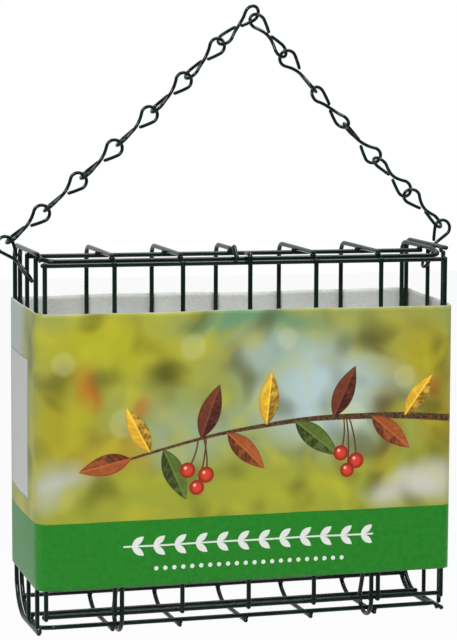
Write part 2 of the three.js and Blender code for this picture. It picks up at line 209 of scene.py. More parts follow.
world = bpy.data.worlds.new("surround")
bpy.context.scene.world = world
world.use_nodes = True
world.node_tree.nodes.clear()
surround = Tree(world.node_tree)
way = surround.node("ShaderNodeTexCoord", output="Generated")
plain, gloss = [
    surround.ramp(surround.vector("DOT_PRODUCT", way, aim, "Value"), *ends)
    for aim, *ends in ROOM_LIGHTS
]
in_gloss = surround.node("ShaderNodeLightPath", output="Is Glossy Ray")
strength = surround.node("ShaderNodeMix", {0: in_gloss, 2: plain, 3: gloss})
room = surround.node("ShaderNodeBackground", {"Color": ROOM_TINT, "Strength": strength})
white = surround.node("ShaderNodeBackground", {"Color": WHITE, "Strength": 1.0})
seen = surround.node("ShaderNodeLightPath", output="Is Camera Ray")
sky = surround.node("ShaderNodeMixShader", {0: seen, 1: room, 2: white})
surround.feed(surround.tree.nodes.new("ShaderNodeOutputWorld").inputs["Surface"], sky)

for box_name, (place, side, watts) in SOFT_BOXES.items():
    lamp = bpy.data.lights.new(box_name, "AREA")
    lamp.shape = "SQUARE"
    lamp.size = side
    lamp.energy = watts
    box = put(box_name, lamp)
    box.location = place
    box.rotation_euler = (SOFT_BOX_AIM - Vector(place)).to_track_quat("-Z", "Y").to_euler()


# Cage. Hard steel wire, folded into a flat C from a welded mesh and dipped in dark green plastic:
# one closed frame, five wires wrapped outside it, four cross wires inside them, and an end panel
# of a hoop and two uprights at each side.
HANG = Vector((0.0068286, 0.022, 0.2200922))  # the hook, from the foot of the door's middle upright
MESH_PITCH = 0.0254
WIRE_THICK = 0.0016
WIRE_COATED = 0.00168  # over the plastic skin, which the welded wires share where they cross
WELD_GAP = 0.0003
WIRE_POKE = 0.0012
ROWS, UPRIGHTS = 5, 7
CAGE_DEPTH_SHARE = 0.35
FRONT_RUN_Y = 0.0039
LOW_RUN_DROP = 0.0043
TOP_RUN_RISE = 0.0013
TOP_FLAP_RISE = 0.001
TOP_BEND, BOTTOM_BEND, FRAME_CORNER = 0.004, 0.015, 0.005
CUT_ARM_SHARE, TOP_CROSS_SHARE, BOTTOM_CROSS_SHARE = 0.53, 0.58, 0.6
LOW_CROSS_ANGLE = math.radians(42)
BEND_FLAT = math.radians(9)  # half a facet of the solid's bend, whose flats lie inside its curve
HOOP_RISE, HOOP_FRONT_Y = 0.0009, 0.003
PANEL_WIRES_Y = {"middle": 0.022, "front": 0.0065}
WIRE_SIDES = 20
BEND_STEP = math.radians(6)
STRAIGHT_STEP = 0.003
COATING_UNEVEN = 0.00007
COATING_LUMPS_PER_METRE = 520.0
COATING_MIDDLE = 0.55  # the level of the lumps that leaves the wire at its thickness
SEAM = 2e-6  # closer points than this are one, which closes a swept wire's tips

wire_r = WIRE_THICK / 2
layer = WIRE_THICK + WELD_GAP
half_width = (UPRIGHTS - 1) / 2 * MESH_PITCH
door_height = ROWS * MESH_PITCH
back_y = CAGE_DEPTH_SHARE * door_height
low_run_z = -LOW_RUN_DROP
high_run_z = door_height + TOP_RUN_RISE
floor_z = low_run_z - layer
hoop_x = half_width + layer


def paint(red, green, blue):
    """A colour from its three screen values, 0 to 255."""
    screen = [value / 255 for value in (red, green, blue)]
    linear = [((v + 0.055) / 1.055) ** 2.4 if v > 10 / 255 else v / 12.92 for v in screen]
    return (*linear, 1)


DARK_COAT, LIGHT_COAT, COAT_PORE = paint(12, 25, 21), paint(17, 35, 30), paint(44, 72, 62)
# the pale grey of the upward faces: dust, and a painted sheen of reflected light
COAT_DUST_AND_SHEEN, RUBBED_STEEL = paint(112, 118, 114), paint(132, 134, 131)


def dark_green_coating(name, rubbed=False):
    """Glossy green plastic on steel wire: an uneven dipped skin, dust and painted sheen on top."""
    coat = Finish(name)
    place = coat.node("ShaderNodeTexCoord", output="Object")
    drift = coat.noise(place, 70, detail=3)
    lumps = coat.noise(place, 320, detail=1)
    pores = coat.noise(place, 2600, detail=3)
    colour = coat.mix(coat.step(drift, 0.3, 0.7), DARK_COAT, LIGHT_COAT)
    colour = coat.mix(coat.step(pores, 0.64, 0.8, high=0.2), colour, COAT_PORE)
    facing = coat.node("ShaderNodeNewGeometry", output="Normal")
    lift = coat.node("ShaderNodeSeparateXYZ", {0: facing}, "Z")
    # upward faces turn a little grey: partly dust, partly a painted sheen standing in for reflected
    # light
    dust_and_sheen = coat.step(lift, 0.45, 1) * coat.step(lumps, 0.35, 0.7, low=0.35)
    colour = coat.mix(dust_and_sheen * 0.07, colour, COAT_DUST_AND_SHEEN)
    rough = coat.step(drift, 0.3, 0.7, low=0.1, high=0.17) + dust_and_sheen * 0.06 + pores * 0.04
    metal = 0.0
    if rubbed:
        rub = coat.node("ShaderNodeAttribute", output="Fac", attribute_name="rub")
        bare = coat.step(rub + (lumps - 0.5) * 0.9, 0.72, 0.86)
        colour = coat.mix(bare, colour, RUBBED_STEEL)
        metal = bare * 0.9
    bump = coat.bump(lumps + pores * 0.06, strength=0.3, depth=0.00008)
    coat.surface(Base_Color=colour, Roughness=rough, Metallic=metal, Normal=bump, IOR=1.42)
    return coat.material


def bent(corners, closed=False):
    """Points along a wire and its girth there, from (point, bend radius) corners."""
    route = []
    count = len(corners)
    for i, (corner, radius) in enumerate(corners):
        corner = Vector(corner)
        if not radius or (not closed and i in (0, count - 1)):
            route.append(corner)
            continue
        inward = (Vector(corners[i - 1][0]) - corner).normalized()
        onward = (Vector(corners[(i + 1) % count][0]) - corner).normalized()
        turn = math.pi - inward.angle(onward)
        centre = corner + (inward + onward).normalized() * radius / math.cos(turn / 2)
        side = (corner + inward * radius * math.tan(turn / 2) - centre).normalized()
        steps = max(2, round(turn / BEND_STEP))
        for k in range(steps + 1):
            angle = turn * k / steps
            route.append(centre + radius * (side * math.cos(angle) - inward * math.sin(angle)))
    points = []
    for i in range(len(route) if closed else len(route) - 1):
        start, end = route[i], route[(i + 1) % len(route)]
        cuts = max(1, round((end - start).length / STRAIGHT_STEP))
        points += [start.lerp(end, k / cuts) for k in range(cuts)]
    if closed:
        return points, [1.0] * len(points), True
    return (*domed(points + [route[-1]], wire_r), False)


def rod(start, end):
    return bent([(start, 0), (end, 0)])


def domed(points, radius):
    """A wire's points and girths, with a rounded tip at each end within its length."""
    dome = [math.radians(a) for a in (0, 18, 36, 54, 72, 90)]
    head_way = (points[1] - points[0]).normalized()
    tail_way = (points[-2] - points[-1]).normalized()
    head = [points[0] + head_way * radius * (1 - math.cos(a)) for a in dome]
    tail = [points[-1] + tail_way * radius * (1 - math.cos(a)) for a in reversed(dome)]
    ends = (points[0], points[-1])
    inner = [p for p in points[1:-1] if min((p - end).length for end in ends) > radius * 1.4]
    rise = [math.sin(a) for a in dome]
    return head + inner + tail, rise + [1.0] * len(inner) + rise[::-1]


def wire_line(name, line, rub=None):
    """A mesh of one wire's middle line, that carries the wire's girth and where it is rubbed."""
    points, girth, closed = line
    edges = [(k, k + 1) for k in range(len(points) - 1)]
    if closed:
        edges.append((len(points) - 1, 0))
    mesh = bpy.data.meshes.new(name)
    mesh.from_pydata(points, edges, [])
    for label, values in (("girth", girth), ("rub", rub)):
        if values:
            mesh.attributes.new(label, "FLOAT", "POINT").data.foreach_set("value", values)
    return mesh


class Shape(Tree):
    """A Geometry Nodes tree, with a geometry, its named sizes and a coating as its inputs."""

    def __init__(self, name, sizes):
        super().__init__(bpy.data.node_groups.new(name, "GeometryNodeTree"))
        kinds = {float: "NodeSocketFloat", int: "NodeSocketInt"}
        self.ask("Geometry", "INPUT", "NodeSocketGeometry")
        for label, size in sizes.items():
            self.ask(label, "INPUT", kinds[type(size)]).default_value = size
        self.ask("Coating", "INPUT", "NodeSocketMaterial")
        self.ask("Geometry", "OUTPUT", "NodeSocketGeometry")
        self.inputs = self.tree.nodes.new("NodeGroupInput").outputs

    def ask(self, label, way, kind):
        return self.tree.interface.new_socket(label, in_out=way, socket_type=kind)

    def given(self, label):
        return Shade(self, self.inputs[label])

    def attribute(self, name, kind):
        return self.node("GeometryNodeInputNamedAttribute", {"Name": name}, data_type=kind)

    def dip(self, bare, middle, **seed):
        """Pushes a bare shape's skin in and out by soft lumps, coats it, and ends the tree."""
        lumps = self.node("ShaderNodeTexNoise", {
            "Vector": self.node("GeometryNodeInputPosition"),
            "Scale": self.given("Lumps per metre"), "Detail": 1.0, **seed,
        }, noise_dimensions="4D" if seed else "3D")
        swell = (lumps - middle) * self.given("Unevenness")
        away = {0: self.node("GeometryNodeInputNormal"), "Scale": swell}
        push = self.node("ShaderNodeVectorMath", away, operation="SCALE")
        lumpy = self.node("GeometryNodeSetPosition", {"Geometry": bare, "Offset": push})
        smooth = self.node("GeometryNodeSetShadeSmooth", {"Geometry": lumpy})
        real = self.node("GeometryNodeRealizeInstances", {"Geometry": smooth})
        coating = self.given("Coating")
        coated = self.node("GeometryNodeSetMaterial", {"Geometry": real, "Material": coating})
        self.feed(self.tree.nodes.new("NodeGroupOutput").inputs[0], coated)
        return self.tree


def coated_wire_tree():
    """Sweeps a round section along a line, with tips closed and a lumpy dipped skin."""
    wire = Shape("coated wire", {
        "Thickness": WIRE_COATED,
        "Sides": WIRE_SIDES,
        "Unevenness": COATING_UNEVEN,
        "Lumps per metre": COATING_LUMPS_PER_METRE,
        "Seed": 1.0,
    })
    section = wire.node("GeometryNodeCurvePrimitiveCircle", {
        "Resolution": wire.given("Sides"), "Radius": wire.given("Thickness") / 2,
    })
    line = wire.node("GeometryNodeMeshToCurve", {"Mesh": wire.given("Geometry")})
    swept = wire.node("GeometryNodeCurveToMesh", {
        "Curve": line, "Profile Curve": section, "Scale": wire.attribute("girth", "FLOAT"),
    })
    bare = wire.node("GeometryNodeMergeByDistance", {"Geometry": swept, "Distance": SEAM})
    return wire.dip(bare, COATING_MIDDLE, W=wire.given("Seed"))


def shape(name, lines, tree, sizes):
    """Runs a tree on a mesh of lines or points, and keeps the result as a plain mesh piece."""
    pattern = put(name + " pattern", lines)
    modifier = pattern.modifiers.new("shape", "NODES")
    modifier.node_group = tree
    for item in tree.interface.items_tree:
        if item.in_out == "INPUT" and item.name in sizes:
            modifier[item.identifier] = sizes[item.name]
    graph = bpy.context.evaluated_depsgraph_get()
    mesh = bpy.data.meshes.new_from_object(pattern.evaluated_get(graph), depsgraph=graph)
    bpy.data.objects.remove(pattern)
    mesh.name = name
    return put(name, mesh)


def top_z(y):
    return high_run_z + layer + TOP_FLAP_RISE / (back_y - FRONT_RUN_Y) * (y - FRONT_RUN_Y)


def hoop_z(y):
    return top_z(y) + HOOP_RISE


def hung(x, y, z):
    """A place counted from the foot of the door's middle upright, as it hangs below the hook."""
    return Vector((x, y, z)) - HANG


def frame_side(x):
    turn_y = FRONT_RUN_Y + 2 * FRAME_CORNER
    return [
        (hung(x, FRONT_RUN_Y, high_run_z), FRAME_CORNER),
        (hung(x, turn_y, top_z(turn_y)), FRAME_CORNER),
        (hung(x, back_y, top_z(back_y)), TOP_BEND),
        (hung(x, back_y, floor_z), BOTTOM_BEND),
        (hung(x, turn_y, floor_z), FRAME_CORNER),
        (hung(x, FRONT_RUN_Y, low_run_z), FRAME_CORNER),
    ]


def wrapped(x, top_y, front_y, top):
    """A C-shaped wire: along the top from top_y, down the back, and forward to front_y."""
    return bent([
        (hung(x, top_y, top(top_y)), 0),
        (hung(x, back_y, top(back_y)), TOP_BEND),
        (hung(x, back_y, floor_z), BOTTOM_BEND),
        (hung(x, front_y, floor_z), 0),
    ])


frame_corners = frame_side(half_width) + frame_side(-half_width)[::-1]
cage_lines = {"cage_frame": bent(frame_corners, closed=True)}
for i in range(UPRIGHTS - 2):
    arm_end = FRONT_RUN_Y - WIRE_POKE
    arm_start = back_y * CUT_ARM_SHARE if i == 2 else arm_end
    cage_lines[f"wrap_wire_{i + 1}"] = wrapped((i - 2) * MESH_PITCH, arm_start, arm_end, top_z)

cross_reach = half_width + WIRE_POKE
top_cross_y = back_y * TOP_CROSS_SHARE
low_bend_r = BOTTOM_BEND * math.cos(BEND_FLAT) - layer
cross_places = {
    "top_cross_wire": (top_cross_y, top_z(top_cross_y) - layer),
    "back_upper_cross_wire": (back_y - layer, door_height / 2),
    "back_lower_cross_wire": (
        back_y - BOTTOM_BEND + low_bend_r * math.cos(LOW_CROSS_ANGLE),
        floor_z + BOTTOM_BEND - low_bend_r * math.sin(LOW_CROSS_ANGLE),
    ),
    "bottom_cross_wire": (back_y * BOTTOM_CROSS_SHARE, floor_z + layer),
}
for node, (y, z) in cross_places.items():
    cage_lines[node] = rod(hung(-cross_reach, y, z), hung(cross_reach, y, z))

for word, sign in (("left", -1), ("right", 1)):
    cage_lines[f"{word}_side_hoop"] = wrapped(sign * hoop_x, HOOP_FRONT_Y, HOOP_FRONT_Y, hoop_z)
    for part, y in PANEL_WIRES_Y.items():
        foot = hung(sign * hoop_x, y, floor_z + wire_r + WELD_GAP)
        head = hung(sign * hoop_x, y, hoop_z(y) - wire_r - WELD_GAP)
        cage_lines[f"{word}_side_{part}_wire"] = rod(foot, head)

coating = dark_green_coating("dark green coating")
wire_tree = coated_wire_tree()


def coat_wires(lines, body, uneven=COATING_UNEVEN):
    for seed, (node, line) in enumerate(lines.items()):
        thick = WIRE_THICK if node.endswith("_side_middle_wire") else WIRE_COATED  # room for a link
        sizes = {"Coating": coating, "Seed": seed + 1.0, "Unevenness": uneven, "Thickness": thick}
        wire = shape(node + "_coated", wire_line(node, line), wire_tree, sizes)
        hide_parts(node)
        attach(wire, body)


coat_wires({"cage_frame": cage_lines.pop("cage_frame")}, "cage", uneven=COATING_UNEVEN / 3)
coat_wires(cage_lines, "cage")


# Door. Seven uprights and three cross wires of the same wire, welded flat. The middle upright turns
# back over the cage as a catch, and two open hooks below hold the cage's lower front run.
HOOK_X_SHARE = 0.316
HOOK_LEG_TOP = 0.022
HOOK_BOW, HOOK_BOW_DROP = 0.00625, 0.0008
HOOK_KNEE, HOOK_TIP = (0.0078, 0.011), (0.0055, 0.014)
HOOK_KNEE_BEND = 0.006
HOOK_BOW_STEPS = 20
CATCH_BEND, CATCH_REACH = 0.0015, 0.0019
FINGER_FOOT = (-0.0048, 0.00075, 0.0013)
FINGER_LEAN = (0, 0.0043, 0.0049)

door_lines = {}
for i in range(UPRIGHTS):
    x = (i - 3) * MESH_PITCH
    corners = [(hung(x, 0, -WIRE_POKE), 0), (hung(x, 0, door_height + WIRE_POKE), 0)]
    if i == 3:
        corners[1] = (hung(x, 0, high_run_z + layer), CATCH_BEND)
        corners.append((hung(x, FRONT_RUN_Y + CATCH_REACH, high_run_z + layer), 0))
    door_lines[f"door_upright_{i + 1}"] = bent(corners)
door_rows = {"bottom": 0, "middle": door_height / 2, "top": door_height}
for word, z in door_rows.items():
    door_lines[f"door_{word}_wire"] = rod(hung(-cross_reach, layer, z), hung(cross_reach, layer, z))


def hinge_hook(x):
    """Down in front of the lower front run, round under it, and up behind it."""
    route = [(hung(x, 0, HOOK_LEG_TOP), 0)]
    for k in range(HOOK_BOW_STEPS + 1):
        angle = math.pi * (1 + k / HOOK_BOW_STEPS)
        y, z = HOOK_BOW * (1 + math.cos(angle)), HOOK_BOW * math.sin(angle) - HOOK_BOW_DROP
        route.append((hung(x, y, z), 0))
    return bent(route + [(hung(x, *HOOK_KNEE), HOOK_KNEE_BEND), (hung(x, *HOOK_TIP), 0)])


hook_x = 2 * half_width * HOOK_X_SHARE
door_lines["left_hinge_hook"] = hinge_hook(-hook_x)
door_lines["right_hinge_hook"] = hinge_hook(hook_x)
foot = hung(FINGER_FOOT[0], FINGER_FOOT[1], door_height + FINGER_FOOT[2])
door_lines["latch_finger"] = rod(foot, foot + Vector(FINGER_LEAN))
coat_wires(door_lines, "door", uneven=COATING_UNEVEN / 3)


# Weld beads. Where two wires cross they are pressed and welded, and the coating runs into the
# corners there as a small web. One small bead sits in the middle of each crossing.
BEAD_REACH, BEAD_RISE = 0.00112, 0.00066
BEAD_LUMPS_PER_METRE, BEAD_UNEVEN = 1100.0, 0.0004
BEAD_MIDDLE = 0.5
CORNER_BEAD_SHARE = 0.4
BACK_BEADS = (0.25, 0.6)  # shares of the door's height, where a side hoop is welded down the back


def weld_bead_tree():
    """Sets a small flattened bead on each point, turned to the point's own lie."""
    weld = Shape("weld beads", {
        "Reach": BEAD_REACH,
        "Rise": BEAD_RISE,
        "Unevenness": BEAD_UNEVEN,
        "Lumps per metre": BEAD_LUMPS_PER_METRE,
    })
    ball = weld.node("GeometryNodeMeshUVSphere", {"Segments": 16, "Rings": 10, "Radius": 1.0})
    reach, rise = weld.given("Reach"), weld.given("Rise")
    scale = weld.node("ShaderNodeCombineXYZ", {0: reach, 1: reach, 2: rise})
    lie = weld.attribute("lie", "FLOAT_VECTOR")
    turn = weld.node("FunctionNodeAlignRotationToVector", {"Vector": lie}, axis="Z")
    beads = weld.node("GeometryNodeInstanceOnPoints", {
        "Points": weld.given("Geometry"), "Instance": ball, "Rotation": turn, "Scale": scale,
    })
    real = weld.node("GeometryNodeRealizeInstances", {"Geometry": beads})
    return weld.dip(real, BEAD_MIDDLE)


up, sideways, back = Vector((0, 0, 1)), Vector((1, 0, 0)), Vector((0, 1, 0))
cross_outward = {
    "top_cross_wire": up,
    "back_upper_cross_wire": back,
    "back_lower_cross_wire": Vector((0, math.cos(LOW_CROSS_ANGLE), -math.sin(LOW_CROSS_ANGLE))),
    "bottom_cross_wire": -up,
}
crossings = {"cage": [], "door": []}


def weld(body, outward, x, y, z, rise=0.0):
    """Marks a crossing, rise above a place, where outward is the way the bead is flat in."""
    crossings[body].append((hung(x, y, z) + outward * rise, outward))


for i in range(UPRIGHTS):
    x = (i - 3) * MESH_PITCH
    for node, (y, z) in cross_places.items():
        weld("cage", cross_outward[node], x, y, z, layer / 2)
    if 0 < i < 6:
        if i != 3:
            weld("cage", up, x, FRONT_RUN_Y, high_run_z + layer / 2)
        weld("cage", up, x, FRONT_RUN_Y, low_run_z - layer / 2)
for sign in (-1, 1):
    x = sign * (half_width + layer / 2)
    weld("cage", sideways, x, FRONT_RUN_Y, high_run_z + CORNER_BEAD_SHARE * layer)
    for y in PANEL_WIRES_Y.values():
        weld("cage", sideways, x, y, top_z(y))
        weld("cage", sideways, x, y, floor_z)
    for share in BACK_BEADS:
        weld("cage", sideways, x, back_y - WELD_GAP, share * door_height)
for i in range(UPRIGHTS):
    for z in door_rows.values():
        weld("door", back, (i - 3) * MESH_PITCH, layer / 2, z)
for sign in (-1, 1):
    weld("door", back, sign * hook_x, layer / 2, 0)

bead_tree = weld_bead_tree()
for body, welds in crossings.items():
    points = bpy.data.meshes.new(body + " crossings")
    points.from_pydata([place for place, _ in welds], [], [])
    lie = points.attributes.new("lie", "FLOAT_VECTOR", "POINT")
    lie.data.foreach_set("vector", [v for _, outward in welds for v in outward])
    beads = shape(body + "_weld_beads", points, bead_tree, {"Coating": coating})
    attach(beads, body)


# Chain. Fifteen links of twisted jack chain, each one wire bent to a figure eight with its two eyes
# at right angles and its ends closing on the waist, all dipped in the cage's green.
LINK_THICK = 0.00135
LINK_COATED = 0.00125  # a hair under the wire's size, so that the links stay clear in every swing
LINK_PITCH = 0.018
LINK_GAP = 0.00025
EYE_R = 0.003
RUN_LINKS = 7
SIDE_PLAY = 0.00045
LEANS = {"left": math.radians(36), "right": math.radians(27)}
SLACKS = {"left": 0.0062, "right": 0.0016}  # how far an end link hangs below its tightest place
ROLLS = {"left": (0, 3, -4, 2, -3, 4, 12), "apex": 27, "right": (180, 145, 106, 67, 28, -11, -50)}
SAG_STEP = math.radians(1.1)
PLAN_PASSES = 12
END_STOP = 0.0006
EYE_STEPS = 26
LEG_STEPS = 9
LEG_SWELL = 0.00012
LEG_HOLLOW = 0.0003
EASE_PASSES = 3
LINK_UNEVEN = 0.000025
RUB_REACH = 0.0026  # how far from the middle of a bearing the coating is rubbed
CHAIN_SEED = 40.0

link_half = (LINK_PITCH + LINK_THICK + LINK_GAP) / 2
eye_centre = link_half - EYE_R
eye_spread = math.asin(EYE_R / eye_centre)
contact_to_eye = LINK_PITCH / 2 + eye_centre


def link_sides(up, roll):
    """The ways in which a link's upper and lower eye lie, at right angles."""
    flat = Vector((0, 1, 0)).cross(up).normalized()
    upper = flat * math.cos(math.radians(roll)) + up.cross(flat) * math.sin(math.radians(roll))
    return upper, up.cross(upper)


def eye_outline(hollow):
    """Half of a link in its own plane, as (along, aside, soft) from the link's middle: the wire's
    end close to the waist, a straight leg, the eye, and a slightly hollow leg to the waist."""
    r = LINK_THICK / 2
    tip = END_STOP + r
    aside = (LINK_THICK + LINK_GAP / 2 - tip * math.sin(eye_spread)) / math.cos(eye_spread)
    reach = eye_centre - tip
    first = math.pi - math.atan2(aside, reach) - math.acos(EYE_R / math.hypot(reach, aside))
    last = -math.pi / 2 - eye_spread

    def on_eye(angle):
        return eye_centre + EYE_R * math.cos(angle), EYE_R * math.sin(angle)

    start = (tip - r * math.sin(first), aside + r * math.cos(first))
    meet, leave = on_eye(first), on_eye(last)
    outline = []
    for k in range(LEG_STEPS):
        along = k / LEG_STEPS
        swell = LEG_SWELL * math.sin(math.pi * along)
        s = start[0] + (meet[0] - start[0]) * along - swell * math.cos(first)
        t = start[1] + (meet[1] - start[1]) * along + swell * math.sin(first)
        outline.append((s, t, k > 0))
    for k in range(EYE_STEPS + 1):
        outline.append((*on_eye(first + (last - first) * k / EYE_STEPS), False))
    for k in range(1, LEG_STEPS + 1):
        along = k / LEG_STEPS
        s = leave[0] + (r * math.cos(eye_spread) - leave[0]) * along
        t = leave[1] + (-r * math.sin(eye_spread) - leave[1]) * along
        outline.append((s, t + hollow * math.sin(math.pi * along), True))
    return outline


def link_line(low, up, roll, hollow):
    """The wire of one link: from an end against the waist, round both eyes, to the other end."""
    waist = low + up * LINK_PITCH / 2
    upper_side, lower_side = link_sides(up, roll)
    upper = [(waist + up * s + upper_side * t, soft) for s, t, soft in eye_outline(hollow)]
    lower = [(waist - up * s + lower_side * t, soft) for s, t, soft in eye_outline(hollow)]
    route = upper + lower[::-1]
    for _ in range(EASE_PASSES):
        route[1:-1] = [
            ((before + 2 * here + after) / 4 if soft else here, soft)
            for (before, _), (here, soft), (after, _) in zip(route, route[1:], route[2:])
        ]
    points, girth = domed([p for p, _ in route], LINK_THICK / 2)
    bearings = [waist + way * (link_half - LINK_THICK / 2) for way in (up, -up)]
    rub = [max(0, 1 - min((p - b).length for b in bearings) / RUB_REACH) for p in points]
    return (points, girth, False), rub


def side_seat(up, roll, pull):
    """From an eye's middle to where the next link's wire bears in it, for a pull along the run."""
    upper, _ = link_sides(up, roll)
    seat = up * pull.dot(up) + upper * pull.dot(upper)
    return seat.normalized() * (EYE_R - (LINK_THICK + LINK_GAP) / 2 - SIDE_PLAY)


def end_link(sign, word):
    """One end link: it leans out past the hoop's top arm, its lower eye round the panel's wire."""
    hold = (WIRE_THICK + LINK_THICK) / 2 + LINK_GAP
    lean = LEANS[word]
    middle_y = PANEL_WIRES_Y["middle"]
    tight = hoop_z(middle_y) - (hold / math.cos(lean) + hold) / math.tan(lean)
    up = Vector((sign * math.sin(lean), 0, math.cos(lean)))
    low = Vector((sign * (hoop_x - hold), middle_y, tight - SLACKS[word]))
    low += up * (link_half - LINK_PITCH / 2)
    return {"sign": sign, "up": up, "low": low, "eye": low + up * contact_to_eye}


def sag_turn(i):
    """How far a link is turned from its run's straight line, which sags a little."""
    return (i - RUN_LINKS / 2) * SAG_STEP


def chain_plan():
    """Both runs' directions and the apex eye, found from the end links and the links' length."""
    left, right = end_link(-1, "left"), end_link(1, "right")
    run_length = sum(LINK_PITCH * math.cos(sag_turn(i)) for i in range(1, RUN_LINKS))
    left["run"], right["run"] = Vector((1, 0, 1)).normalized(), Vector((-1, 0, 1)).normalized()
    middle_y = PANEL_WIRES_Y["middle"]
    for _ in range(PLAN_PASSES):
        for end, word in ((left, "left"), (right, "right")):
            end["seat"] = side_seat(end["up"], ROLLS[word][0], end["run"])
        apex_seat = side_seat(left["run"], ROLLS["apex"], -right["run"])
        left_from = left["eye"] + left["seat"]
        right_from = right["eye"] + right["seat"] - apex_seat
        left_reach = run_length + contact_to_eye
        right_reach = math.sqrt(run_length ** 2 - (right_from.y - middle_y) ** 2)
        base = right_from - left_from
        base.y = 0
        span = base.length
        along = (span ** 2 + left_reach ** 2 - right_reach ** 2) / (2 * span)
        height = math.sqrt(left_reach ** 2 - along ** 2)
        base.normalize()
        eye = Vector((left_from.x, middle_y, left_from.z)) + base * along
        eye += base.cross(Vector((0, 1, 0))) * height
        left["run"], right["run"] = (eye - left_from).normalized(), (eye - right_from).normalized()
    return left, right, eye


left_end, right_end, apex_eye = chain_plan()
links = {"apex_link": (apex_eye - left_end["run"] * contact_to_eye, left_end["run"], ROLLS["apex"])}
for word, end in (("left", left_end), ("right", right_end)):
    links[f"{word}_link_1"] = (end["low"], end["up"], ROLLS[word][0])
    low = end["eye"] + end["seat"]
    for i in range(1, RUN_LINKS):
        up = Matrix.Rotation(end["sign"] * sag_turn(i), 3, "Y") @ end["run"]
        links[f"{word}_link_{i + 1}"] = (low.copy(), up, ROLLS[word][i])
        low += up * LINK_PITCH

chain_coating = dark_green_coating("chain coating", rubbed=True)
for seed, (node, (low, up, roll)) in enumerate(links.items()):
    hollow = 0.0 if node[-1] == "1" else LEG_HOLLOW  # the end links need all their eye's room
    line, rub = link_line(low - HANG, up, roll, hollow)
    sizes = {"Coating": chain_coating, "Thickness": LINK_COATED, "Unevenness": LINK_UNEVEN}
    sizes["Seed"] = CHAIN_SEED + seed
    link = shape(node + "_coated", wire_line(node, line, rub), wire_tree, sizes)
    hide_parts(node)
    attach(link, node if node == "apex_link" else "link_row_" + node[-1])


# Card sleeve. Thin white-backed card, printed and lightly varnished outside, folded to a four-sided
# tube and glued down the back. It bows off the cage a little and its folds are rubbed pale.
CARD_THICK = 0.0005
CARD_CLEAR = 0.0003
CARD_LOW, CARD_HIGH = 0.08 * door_height, 0.866 * door_height
CARD_RISE = 0.0024
FRONT_FOLD_R, BACK_FOLD_R = 0.0044, 0.0017
SIDE_BOW = 0.0009
GLUE_LAP = 0.015
FOLD_STEPS = 9
COLUMN_STEP, CARD_ROWS = 0.002, 64
LEFT_BOW_SHARE, RIGHT_BOW_SHARE = 1.0, 0.6
RIPPLE, RIPPLE_TURNS = 0.00013, 95
LAP_RISE = 0.00032
CUT_WAVES = ((0.00028, 61, 1.3), (0.0002, 173, 0))  # height, turns per metre, start
BACK_WAVE, BACK_WAVE_TURNS = 0.0005, 40
PRINT_SPAN, PRINT_HEIGHT = 0.45, 0.12
PRINTED, PLAIN, CUT_EDGE = 0, 1, 2
CARD_INSIDE = paint(220, 222, 216), paint(209, 211, 205), 900  # two tones, fibres per metre
CARD_CUT = paint(214, 214, 206), paint(182, 182, 172), 2500
CARD_STAIN = paint(176, 180, 178)

card_x = hoop_x + wire_r + CARD_CLEAR + CARD_THICK
card_front = -wire_r - CARD_CLEAR - CARD_THICK
card_back = back_y + wire_r + CARD_CLEAR + CARD_THICK


def card_outline():
    """Points round the outside, from the back's middle to the left, with the distance walked."""
    back = Vector((0, card_back))
    folds = [
        (Vector((-card_x, card_back)), BACK_FOLD_R), (Vector((-card_x, card_front)), FRONT_FOLD_R),
        (Vector((card_x, card_front)), FRONT_FOLD_R), (Vector((card_x, card_back)), BACK_FOLD_R),
    ]
    stops = [back] + [corner for corner, _ in folds] + [back]
    route = [back]
    for before, (corner, radius), after in zip(stops, folds, stops[2:]):
        inward, onward = (before - corner).normalized(), (after - corner).normalized()
        centre = corner + (inward + onward) * radius
        for k in range(FOLD_STEPS + 1):
            angle = math.pi / 2 * k / FOLD_STEPS
            aside = onward * radius * math.cos(angle)
            route.append(centre - aside - inward * radius * math.sin(angle))
    route.append(back)
    points, walked, length = [], [], 0.0
    for start, end in zip(route, route[1:]):
        step = (end - start).length
        cuts = max(1, round(step / COLUMN_STEP))
        for k in range(cuts):
            points.append(start.lerp(end, k / cuts))
            walked.append(length + step * k / cuts)
        length += step
    return points + [route[-1]], walked + [length], length


def card_ways(points):
    """The outward direction at each point of the closed outline."""
    ring = [points[-2]] + points + [points[1]]
    alongs = [(after - before).normalized() for before, after in zip(ring, ring[2:])]
    return [Vector((along.y, -along.x)) for along in alongs]


